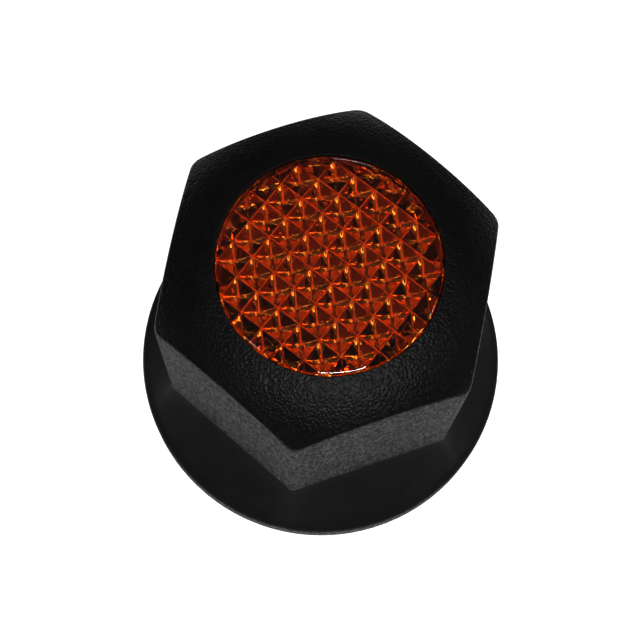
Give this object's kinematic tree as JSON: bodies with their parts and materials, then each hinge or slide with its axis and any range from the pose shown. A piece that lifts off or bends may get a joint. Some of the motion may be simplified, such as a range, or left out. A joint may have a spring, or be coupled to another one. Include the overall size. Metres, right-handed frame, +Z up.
{
  "type": "hexagonal reflector cap",
  "caption": "Black hexagonal cap with a domed crown, an amber prismatic reflector facing up and a flared round base; pushes over a hexagonal nut and grips it with spring clips.",
  "frame": {"origin": "centre of the base ring, on the surface that the base stands on", "axes": "+Z up through the middle of the reflector; two opposite corners of the hexagon lie on the Y axis"},
  "size_m": [0.0566, 0.0566, 0.0524],
  "materials": {
    "textured_black": "moulded black plastic with a fine leather-like grain",
    "smooth_black": "smooth satin black plastic",
    "amber_lens": "clear amber acrylic, polished face over moulded prisms",
    "mirror_film": "metallised film",
    "pale_plastic": "matt off-white plastic plate",
    "foam_pad": "closed-cell foam",
    "spring_steel": "bright rolled spring strip"
  },
  "bodies": {
    "root": {"hex_cap": "textured_black", "flared_base": "smooth_black", "reflector_lens": "amber_lens", "reflector_film": "mirror_film", "reflector_back": "pale_plastic", "adhesive_pad": "foam_pad", "nut_clip_1": "spring_steel", "nut_clip_2": "spring_steel", "nut_clip_3": "spring_steel", "nut_clip_4": "spring_steel", "nut_clip_5": "spring_steel", "nut_clip_6": "spring_steel"}
  },
  "joints": []
}
